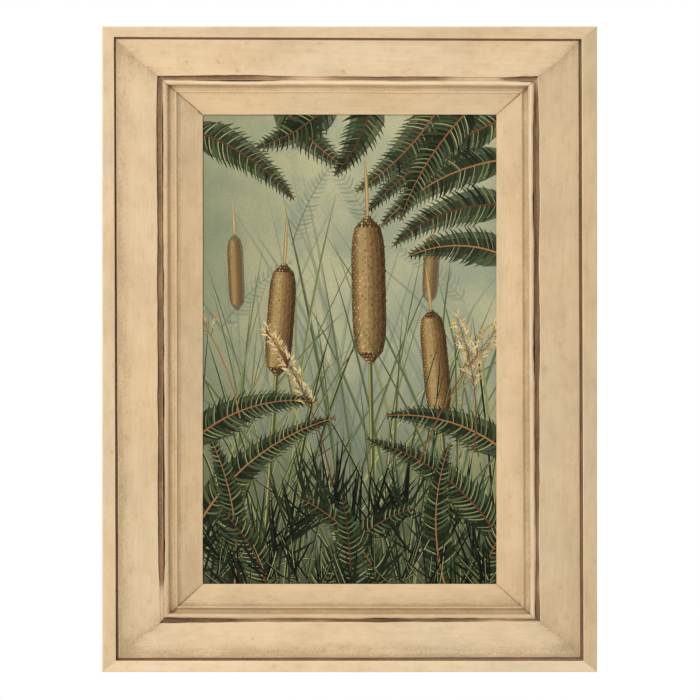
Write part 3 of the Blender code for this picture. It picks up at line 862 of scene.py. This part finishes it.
def marsh():
    """Reed maces, ferns and sedge in mist: a print's worth of generic marsh plants."""
    art = Drawing(4207)
    draw = art.draw
    up = math.pi / 2

    for _each in range(34):
        foot = (draw.uniform(-0.13, 0.13), draw.uniform(-0.21, -0.10))
        long = draw.uniform(0.16, 0.33)
        art.blade(foot, up + draw.gauss(0, 0.16), long, 0.0052, draw.gauss(0, 0.5),
                  "ghost", "mist", 0.42, steps=8)
    for foot, heading, bend in (
        ((-0.11, 0.02), 1.0, -0.5), ((0.10, 0.04), 2.2, 0.6), ((0.02, 0.10), 1.9, 0.5),
        ((0.05, -0.08), 1.1, -0.7), ((-0.05, 0.09), 1.3, -0.4), ((0.115, -0.06), 2.4, -0.5),
    ):
        art.frond(foot, heading, 0.085, bend, "ghost", "mist", "mist", 0.5, lit=0.25)
    for foot, long, lean in (((-0.098, 0.034), 0.066, 0.04), ((0.058, 0.040), 0.060, -0.05)):
        stem = art.curve((foot[0] + 0.01, -0.20), up + 0.02, foot[1] + 0.20, lean, 8)
        art.stroke(stem, np.full(9, 0.0022), (128, 136, 110), 0.6)
        art.head(stem[-1], up + lean, long, 0.014, 0.62)

    for _each in range(58):
        foot = (draw.uniform(-0.135, 0.135), draw.uniform(-0.215, -0.15))
        long = draw.uniform(0.15, 0.31)
        lean = draw.gauss(0, 0.2)
        art.blade(foot, up + lean, long, draw.uniform(0.003, 0.0055), lean * 1.6 - 0.1,
                  "mist", "shine", 1, steps=6)

    for x, z, heading, bend, long in (
        (0.135, 0.200, 3.49, 0.5, 0.150), (0.137, 0.165, 3.24, 0.8, 0.130),
        (-0.137, 0.190, -0.30, -0.6, 0.110), (0.080, 0.214, 4.19, -0.5, 0.110),
        (-0.060, 0.216, -1.04, 0.5, 0.085), (0.137, 0.125, 3.04, 0.9, 0.110),
        (0.020, 0.216, 4.49, -0.5, 0.075), (0.137, 0.080, 2.69, 0.9, 0.090),
        (0.110, 0.214, 3.89, 0.5, 0.125), (-0.015, 0.216, 3.99, -0.6, 0.080),
    ):
        art.frond(
            (x, z), heading, long, bend, "leaf", "shine", "twig", 1, reach=0.034, lit=0.5, shade=0.75
        )

    for x, top, long, wide, lean in (
        (-0.070, -0.016, 0.098, 0.0235, 0.07),
        (0.084, -0.052, 0.094, 0.0225, -0.09),
        (0.020, -0.004, 0.128, 0.0295, -0.02),
    ):
        heading = up - lean
        stem = art.curve((x - lean * 0.09, -0.205), heading, top + 0.205 - long * 0.05, 0.0, 8)
        art.stroke(stem, np.linspace(0.0048, 0.0034, 9), (74, 80, 42), 1)
        art.stroke(stem - (0.0008, 0), np.linspace(0.0015, 0.0011, 9), (160, 152, 96), 1)
        art.head(stem[-1] - (0, 0.002), heading, long, wide, 1)

    for _each in range(46):
        foot = (draw.uniform(-0.135, 0.135), draw.uniform(-0.215, -0.19))
        lean = draw.gauss(0, 0.26)
        long = draw.uniform(0.10, 0.25)
        art.blade(foot, up + lean, long, draw.uniform(0.003, 0.0052), lean * 1.9,
                  "leaf", "shine", 1, steps=6)

    for index in range(17):
        foot = (-0.135 + 0.27 * (index + 0.5) / 17, -0.168 + draw.uniform(-0.03, 0.035))
        art.tuft(foot, up + draw.gauss(0, 0.3), 0.62, 15, 0.062, 0.0032, "deep", "leaf", 1, lit=0.35)
    for x, z, heading, bend, long in (
        (-0.130, -0.150, 1.05, -0.8, 0.155), (0.130, -0.165, 2.1, 0.8, 0.150),
        (-0.100, -0.205, 1.45, 0.6, 0.140), (0.085, -0.212, 1.9, -0.7, 0.135),
        (-0.030, -0.212, 1.15, -0.9, 0.120), (0.030, -0.214, 1.85, 0.9, 0.120),
        (-0.137, -0.080, 0.75, -0.9, 0.120), (0.137, -0.090, 2.45, 0.8, 0.115),
        (0.0, -0.214, 1.5, 0.3, 0.085), (-0.07, -0.214, 1.75, 0.7, 0.090),
        (0.110, -0.214, 1.35, -0.5, 0.090),
    ):
        art.frond(
            (x, z), heading, long, bend, "leaf", "shine", "twig", 1, reach=0.032, lit=0.6, shade=0.8
        )
    for index in range(11):
        foot = (-0.13 + 0.26 * (index + 0.5) / 11, -0.207 + draw.uniform(-0.01, 0.012))
        art.tuft(foot, up + draw.gauss(0, 0.25), 0.7, 12, 0.048, 0.0030, "deep", "shine", 1, lit=0.4)

    for x, z, heading, bend, long in (
        (-0.095, -0.06, 1.75, 0.7, 0.17), (0.060, -0.10, 1.25, -0.6, 0.20),
        (-0.015, -0.12, 1.72, 0.5, 0.15), (0.108, -0.09, 1.45, 0.5, 0.12),
    ):
        art.panicle((x, z), heading, long, bend, "straw", "twig", 1)
    return art


def clipped(outline, low, high):
    """The part of an outline inside a rectangle, or nothing."""
    shape = [tuple(point) for point in outline]
    for axis, limit, side in ((0, low[0], 1), (0, high[0], -1), (1, low[1], 1), (1, high[1], -1)):
        kept = []
        for index, here in enumerate(shape):
            before = shape[index - 1]
            inside = (here[axis] - limit) * side >= 0
            if inside != ((before[axis] - limit) * side >= 0):
                share = (limit - before[axis]) / (here[axis] - before[axis])
                kept.append(tuple(b + (h - b) * share for b, h in zip(before, here)))
            if inside:
                kept.append(here)
        shape = kept
        if len(shape) < 3:
            return []
    return shape


def area(outline):
    """The area an outline of corners encloses."""
    total = 0.0
    for index, here in enumerate(outline):
        total += outline[index - 1][0] * here[1] - here[0] * outline[index - 1][1]
    return abs(total) / 2


def blended(inks):
    """The colour and coverage of inks laid over one another, given from the top down."""
    colour = [0.0, 0.0, 0.0]
    cover = 0.0
    for ink in inks:
        share = ink[3] * (1 - cover)
        colour = [held + step * share for held, step in zip(colour, ink[:3])]
        cover += share
    return tuple(held / max(cover, 1e-6) for held in colour) + (cover,)


def inked_tile(art, low, high):
    """One tile of the drawing as points, triangles and a composited ink for each triangle."""
    points = [(low[0], low[1]), (high[0], low[1]), (high[0], high[1]), (low[0], high[1])]
    shapes = [[0, 1, 2, 3]]
    inks = [None]
    for outline, ink in zip(art.outlines, art.inks):
        if (outline.max(0) < low).any() or (outline.min(0) > high).any():
            continue
        shape = clipped(outline, low, high)
        if not shape:
            continue
        shapes.append(list(range(len(points), len(points) + len(shape))))
        points += shape
        inks.append(ink)
    found = delaunay_2d_cdt([Vector(point) for point in points], [], shapes, 1, PRINT_WELD, True)
    filled = [0.0] * len(shapes)
    for face, owner in zip(found[2], found[5]):
        size = area([found[0][index] for index in face])
        for index in owner:
            filled[index] += size
    sound = [True] * len(shapes)
    for index, shape in enumerate(shapes):
        own = area([points[corner] for corner in shape])
        sound[index] = filled[index] < PRINT_OVERFILL * own + 1e-8
    mesh = bmesh.new()
    made = [mesh.verts.new((point.x, point.y, 0)) for point in found[0]]
    seen = {}
    for face, owner in zip(found[2], found[5]):
        layers = []
        for index in sorted(owner, reverse=True):
            if inks[index] is None:
                break
            if not sound[index]:
                continue
            layers.append(index)
            if inks[index][3] == 1:
                break
        key = seen.setdefault(tuple(layers), len(seen))
        mesh.faces.new([made[index] for index in face]).material_index = key
    bmesh.ops.dissolve_limit(
        mesh, angle_limit=PRINT_FLAT, verts=mesh.verts, edges=mesh.edges, delimit={"MATERIAL"}
    )
    blends = [blended([inks[index] for index in layers]) for layers in seen]
    mesh.verts.index_update()
    corners_of = [tuple(vert.co.xy) for vert in mesh.verts]
    faces = [[vert.index for vert in face.verts] for face in mesh.faces]
    colours = [blends[face.material_index] for face in mesh.faces]
    mesh.free()
    return corners_of, faces, colours


def printed_canvas():
    """The print's finish: its inks over a misty ground, stippled, on woven canvas."""
    make = Shading("printed_canvas")
    place = make.place()
    across, _depth, height = make.split(place)
    clouds = make.noise(place, (9, 1, 8), detail=3)
    soft = make.noise(place, (34, 1, 26), detail=4, rough=0.6)
    ground = make.blend(make.ramp(clouds, 0.38, 0.64), (156, 160, 130), (188, 184, 144))
    haze = make.ramp(soft, 0.42, 0.68, 0.0, 0.55)
    ground = make.blend(haze, ground, (142, 150, 130))
    left = make.ramp(across, 0.03, -0.13, 0.0, 0.5)
    ground = make.blend(left, ground, (112, 118, 86))
    low = make.ramp(height, MIDDLE_Z + 0.02, MIDDLE_Z - 0.2, 0.0, 0.85)
    ground = make.blend(low, ground, (48, 52, 30))

    ink = make.attribute("ink", "Color")
    colour = make.mix(make.attribute("cover"), ground, ink)
    stipple = make.noise(place, (1500, 1, 1500), rough=0.7)
    shade = make.ramp(stipple, 0.3, 0.7, 0.86, 1.14)
    warp = make.noise(place, (1400, 1, 240), detail=1)
    weft = make.noise(place, (240, 1, 1400), detail=1)
    weave = make.math("ADD", warp, weft)
    shade = make.times(shade, make.ramp(weave, 0.7, 1.3, 0.94, 1.06))
    colour = make.tinted(colour, make.grey(shade))
    make.bump(weave, 0.5, 0.0002)
    return make.finish(colour, make.ramp(weave, 0.8, 1.2, 0.62, 0.78), 0.12)


def print_sheet():
    """The print itself: flat meshes of inked outlines, band by band, on the panel's front."""
    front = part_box("print_panel")[0].y - PRINT_LIFT
    middle = np.array((MIDDLE_X, MIDDLE_Z))
    half = np.array((HIGH_X - SIGHT_SIDE - MIDDLE_X, HIGH_Z - SIGHT_END - MIDDLE_Z)) + PRINT_LAP
    art = marsh()
    canvas = printed_canvas()
    edge_x = np.linspace(-half[0], half[0], PRINT_TILES[0] + 1)
    edge_z = np.linspace(-half[1], half[1], PRINT_TILES[1] + 1)
    for band in range(len(PRINT_BANDS) - 1):
        points = []
        faces = []
        blends = []
        for row in range(PRINT_BANDS[band], PRINT_BANDS[band + 1]):
            for column in range(PRINT_TILES[0]):
                first = np.array((edge_x[column], edge_z[row]))
                last = np.array((edge_x[column + 1], edge_z[row + 1]))
                made, flat, mixed = inked_tile(art, first, last)
                start = len(points)
                points += [(x + middle[0], front, z + middle[1]) for x, z in made]
                faces += [[start + index for index in face] for face in flat]
                blends += mixed
        name = f"print_sheet_{band + 1}"
        mesh = bpy.data.meshes.new(name)
        mesh.from_pydata(points, [], faces)
        counts = [len(face) for face in faces]
        inks = np.repeat(np.array(blends, "f"), counts, axis=0)
        cover = inks[:, 3].copy()
        inks[:, 3] = 1
        attach(mesh, "ink", "FLOAT_COLOR", "CORNER", "color", inks)
        attach(mesh, "cover", "FLOAT", "CORNER", "value", cover)
        mesh.materials.append(canvas)
        sheet = placed(name, mesh)
        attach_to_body(sheet, "root")


def hardboard():
    """Brown pressed board with the woven pattern of its press screen."""
    make = Shading("hardboard")
    place = make.place()
    across, _depth, height = make.split(place)
    fibre = make.noise(place, (260, 260, 700), detail=4, rough=0.65)
    cloud = make.noise(place, (14, 14, 14), detail=3)
    pitch = 2 * math.pi / 0.0021
    waves = [make.math("SINE", make.times(line, pitch)) for line in (across, height)]
    screen = make.times(*waves)
    colour = make.blend(fibre, (152, 112, 72), (112, 78, 46))
    colour = make.blend(make.ramp(cloud, 0.35, 0.7, 0.0, 0.45), colour, (98, 70, 44))
    colour = make.blend(make.ramp(screen, 0.2, 1.0, 0.0, 0.3), colour, (84, 58, 34))
    specks = make.ramp(make.noise(place, 900), 0.68, 0.74, 0.0, 0.6)
    colour = make.blend(specks, colour, (190, 156, 112))
    make.bump(make.math("MULTIPLY_ADD", fibre, 0.8, screen), 0.4, 0.0002)
    return make.finish(colour, make.ramp(fibre, 0.3, 0.7, 0.62, 0.8), 0.3)


def panel_board():
    """The pale fibre panel that the print is mounted on."""
    make = Shading("panel_board")
    place = make.place()
    fibre = make.noise(place, (700, 200, 700), detail=4, rough=0.7)
    layer = make.noise(place, (30, 1600, 30))
    colour = make.blend(fibre, (196, 164, 122), (162, 128, 88))
    colour = make.blend(make.ramp(layer, 0.4, 0.7, 0.0, 0.4), colour, (140, 108, 72))
    make.bump(fibre, 0.4, 0.0002)
    return make.finish(colour, make.ramp(fibre, 0.3, 0.7, 0.7, 0.88), 0.25)


def worn_metal(name, bright, dull, tarnish, smooth):
    """A plated metal with fine scratches, and tarnish in patches."""
    make = Shading(name)
    place = make.place()
    scratch = make.noise(place, (2600, 400, 260), detail=3, rough=0.7)
    cross = make.noise(place, (240, 400, 2400), detail=3, rough=0.7)
    patch = make.noise(place, 240, detail=4, rough=0.65)
    lines = make.math("MULTIPLY_ADD", scratch, 0.5, make.times(cross, 0.5))
    colour = make.blend(make.ramp(lines, 0.35, 0.65), bright, dull)
    stain = make.ramp(patch, 0.52, 0.7, 0.0, 0.8)
    colour = make.blend(stain, colour, tarnish)
    rough = make.ramp(lines, 0.35, 0.65, smooth, smooth + 0.16)
    rough = make.math("MULTIPLY_ADD", stain, 0.25, rough)
    make.set("Metallic", 1.0)
    make.bump(lines, 0.25, 0.00005)
    return make.finish(colour, rough)


def felted_rubber():
    """Soft dark rubber with a faint dusty bloom."""
    make = Shading("felted_rubber")
    place = make.place()
    grit = make.noise(place, 2600, detail=3, rough=0.7)
    bloom = make.noise(place, 260, detail=3)
    colour = make.blend(grit, (34, 33, 32), (58, 56, 54))
    colour = make.blend(make.ramp(bloom, 0.48, 0.7, 0.0, 0.5), colour, (92, 88, 82))
    make.bump(grit, 0.5, 0.0001)
    return make.finish(colour, make.ramp(bloom, 0.3, 0.7, 0.66, 0.86), 0.35)


# How far from the back the ends of the corner nails lie, at most, and how far they are drawn
# out of the wood to show in its face
NAIL_SUNK = 0.0006
NAIL_SHOWN = 0.00012

# Angle between faces from which an edge is eased
EASED_FROM = math.radians(40)

# Each kind of small piece: how its nodes are named, its slot, and how far its edges are eased
HARDWARE = (
    ("print_panel", "print", 0.00025),
    ("backing_board", "backing", 0.00030),
    ("retainer_point", "steel", 0.00006),
    ("corner_nail", "steel", 0.00008),
    ("hanger_nail", "brassed_steel", 0.00022),
    ("hanger", "brassed_steel", 0.00012),
    ("bumper", "rubber", 0.00060),
)


def eased(name, width, material):
    """A copy of a CAD node's mesh with its sharp edges rounded, which stands for the node."""
    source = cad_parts[name]
    mesh = bmesh.new()
    mesh.from_mesh(source.data)
    mesh.transform(source.matrix_world)
    bmesh.ops.remove_doubles(mesh, verts=mesh.verts, dist=1e-6)
    bmesh.ops.dissolve_limit(mesh, angle_limit=0.01, verts=mesh.verts, edges=mesh.edges)
    if name.startswith("corner_nail"):
        for corner in mesh.verts:
            if corner.co.y > -NAIL_SUNK:
                corner.co.y = NAIL_SHOWN
    sharp = [
        edge for edge in mesh.edges
        if len(edge.link_faces) == 2 and edge.calc_face_angle(0) > EASED_FROM
    ]
    bmesh.ops.bevel(
        mesh, geom=sharp, offset=width, segments=3, profile=0.5, affect="EDGES", clamp_overlap=True
    )
    made = bpy.data.meshes.new(f"{name}_fine")
    mesh.to_mesh(made)
    mesh.free()
    made.materials.clear()
    made.materials.append(material)
    made.shade_smooth()
    made.set_sharp_from_angle(angle=SMOOTH_UP_TO)
    piece = placed(f"{name}_fine", made)
    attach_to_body(piece, "root")
    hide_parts(name)


def make_hardware():
    """The panel, backing, points, nails, hanger and bumpers, with eased edges and finishes."""
    finishes = {
        "print": panel_board(),
        "backing": hardboard(),
        "steel": worn_metal("zinc", (196, 198, 200), (150, 152, 154), (112, 104, 94), 0.30),
        "brassed_steel": worn_metal("brass", (214, 178, 102), (176, 138, 72), (110, 80, 44), 0.24),
        "rubber": felted_rubber(),
    }
    done = set()
    for start, slot, width in HARDWARE:
        for name in sorted(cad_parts):
            if name.startswith(start) and name not in done:
                done.add(name)
                eased(name, width, finishes[slot])


def make_camera():
    """The photograph's camera: straight on, from far enough to flatten the view."""
    pixel = 0.0008645
    photo_width = 700 * pixel
    distance = 3.0
    aim_right = 0.35 * pixel
    aim_down = 0.75 * pixel
    data = bpy.data.cameras.new("camera")
    data.sensor_width = 36
    data.lens = data.sensor_width * distance / photo_width
    camera = placed("camera", data)
    camera.location = (MIDDLE_X + aim_right, FRONT_Y - distance, MIDDLE_Z - aim_down)
    camera.rotation_euler = (math.pi / 2, 0, 0)
    bpy.context.scene.camera = camera


# Lamps of the studio: name, power and place from the picture's middle, and their width. The
# white surround lights the picture less than it shows
LAMPS = (("key", 59.6, (-1.5, -2.4, 1.7)), ("fill", 46, (1.5, 2.5, 1.7)))
LAMP_SIZE = 1.1
ROOM_LIGHT = 0.55
ROOM_SEEN = 1.0


def make_lights():
    """A soft key from the upper left in front, a fill from behind, and a white surround."""
    world = bpy.data.worlds.new("studio")
    bpy.context.scene.world = world
    world.use_nodes = True
    tree = world.node_tree
    tree.nodes.clear()
    ray = tree.nodes.new("ShaderNodeLightPath")
    mixer = tree.nodes.new("ShaderNodeMixShader")
    output = tree.nodes.new("ShaderNodeOutputWorld")
    for socket, strength in ((mixer.inputs[1], ROOM_LIGHT), (mixer.inputs[2], ROOM_SEEN)):
        white = tree.nodes.new("ShaderNodeBackground")
        white.inputs["Color"].default_value = (1, 1, 1, 1)
        white.inputs["Strength"].default_value = strength
        tree.links.new(white.outputs[0], socket)
    tree.links.new(ray.outputs["Is Camera Ray"], mixer.inputs[0])
    tree.links.new(mixer.outputs[0], output.inputs[0])

    target = Vector((MIDDLE_X, FRONT_Y, MIDDLE_Z))
    for name, energy, place in LAMPS:
        data = bpy.data.lights.new(name, "AREA")
        data.shape = "DISK"
        data.size = LAMP_SIZE
        data.energy = energy
        lamp = placed(name, data)
        lamp.location = target + Vector(place)
        lamp.rotation_euler = (target - lamp.location).to_track_quat("-Z", "Y").to_euler()


def make_floor():
    """A plain pale floor under the picture, out of the photograph's view."""
    drop = 0.34
    radius = 1.9
    bpy.ops.mesh.primitive_circle_add(
        vertices=96, radius=radius, fill_type="NGON", location=(0, 0, LOW_Z - drop)
    )
    floor = bpy.context.object
    floor.name = "floor"
    make = Shading("floor_paint")
    soft = make.noise(make.place(), 3, detail=3)
    colour = make.blend(soft, (236, 235, 232), (228, 227, 224))
    floor.data.materials.append(make.finish(colour, 0.9))


def build():
    """The whole dressed picture."""
    make_camera()
    wood = washed_wood()
    sections = {
        "outer_strip": strip_section(),
        "board": board_section(),
        "moulding": moulding_section(),
    }
    seed = FIRST_SEED
    for ring, section in sections.items():
        for side in SIDES:
            stick(ring, side, section, seed, wood)
            seed += SEED_STEP
    print_sheet()
    make_hardware()
    make_lights()
    make_floor()
    bpy.context.scene.view_settings.view_transform = "Standard"


build()
